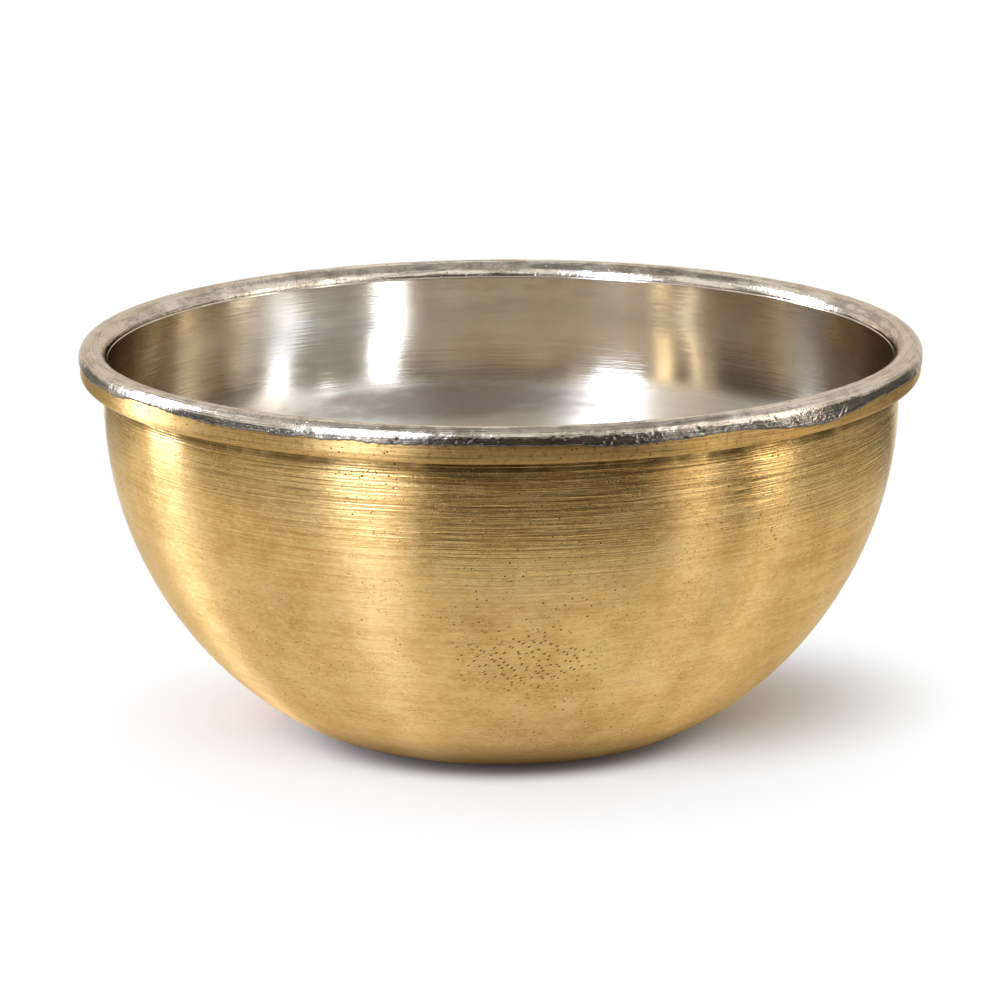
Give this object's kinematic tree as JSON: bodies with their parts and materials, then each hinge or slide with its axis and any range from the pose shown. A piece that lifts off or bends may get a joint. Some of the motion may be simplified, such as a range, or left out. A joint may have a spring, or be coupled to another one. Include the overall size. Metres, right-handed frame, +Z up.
{
  "type": "offering bowl",
  "caption": "Round-bellied offering bowl of thin sheet brass with a wired, rolled rim, tinned inside and over the rim, standing on a small flat base.",
  "frame": {"origin": "centre of the flat base, on the surface that the bowl stands on", "axes": "+Z up along the bowl's axis of revolution, X and Y level"},
  "size_m": [0.12, 0.12, 0.0573],
  "materials": {
    "brass": "turned and brushed, lightly tarnished, pitted",
    "lining_tin": "wiped tin, warm satin",
    "rim_tin": "heavy run tin, bright and lumpy",
    "iron_wire": "dull drawn iron"
  },
  "bodies": {
    "root": {"brass_shell": "brass", "rim_wire": "iron_wire", "tin_lining": "lining_tin", "rim_tin": "rim_tin"}
  },
  "joints": []
}
